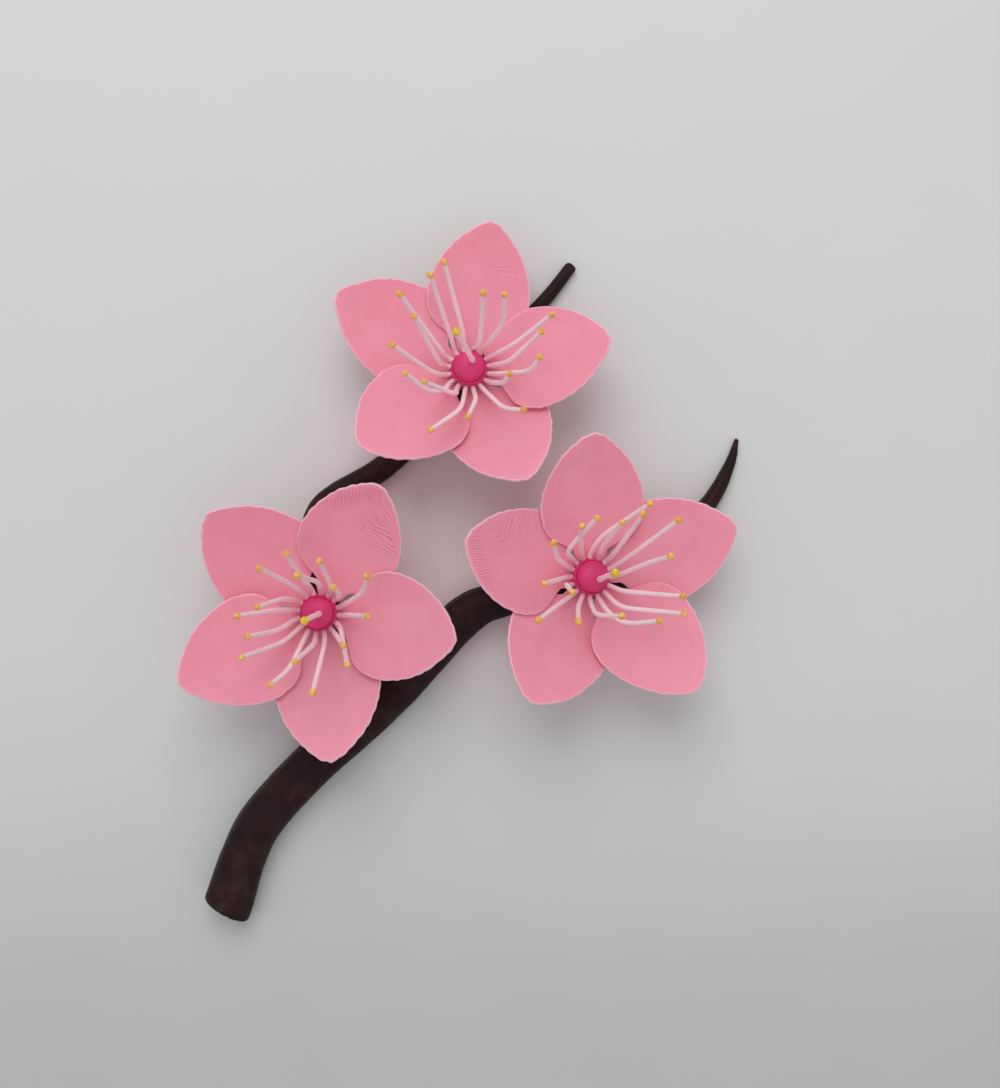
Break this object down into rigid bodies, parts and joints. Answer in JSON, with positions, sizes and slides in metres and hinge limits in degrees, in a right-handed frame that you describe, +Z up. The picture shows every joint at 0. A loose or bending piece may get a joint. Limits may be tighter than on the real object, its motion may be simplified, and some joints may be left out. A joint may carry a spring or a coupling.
{
  "type": "artificial cherry blossom sprig",
  "caption": "Made cherry blossom sprig with open pink blossoms, long stamens and domed centres on a dark forked branch that lies flat.",
  "frame": {"origin": "a point on the flat underside of the main limb, between the blossoms", "axes": "+Z up, away from the surface that the sprig lies on; +Y towards the upper blossom; +X towards the main limb's pointed tip"},
  "size_m": [0.0772, 0.099, 0.0226],
  "materials": {
    "branch": "smooth near-black brown with a soft sheen",
    "petal": "satin pink with fine layer lines",
    "flower_base": "plain brown",
    "filament": "slightly translucent pale pink",
    "anther": "faceted yellow",
    "button": "magenta with a soft gloss",
    "pistil": "pale pink with a bright yellow tip"
  },
  "bodies": {
    "root": {"branch": "branch", "upper_petal_mid": "petal", "upper_petal_low_1": "petal", "upper_petal_high_1": "petal", "upper_petal_low_2": "petal", "upper_petal_high_2": "petal", "upper_flower_base": "flower_base", "upper_stamens": "filament", "upper_button": "button", "upper_pistil": "pistil", "right_petal_mid": "petal", "right_petal_low_1": "petal", "right_petal_high_1": "petal", "right_petal_low_2": "petal", "right_petal_high_2": "petal", "right_flower_base": "flower_base", "right_stamens": "filament", "right_button": "button", "right_pistil": "pistil", "left_petal_mid": "petal", "left_petal_low_1": "petal", "left_petal_high_1": "petal", "left_petal_low_2": "petal", "left_petal_high_2": "petal", "left_flower_base": "flower_base", "left_stamens": "filament", "left_button": "button", "left_pistil": "pistil"}
  },
  "joints": []
}
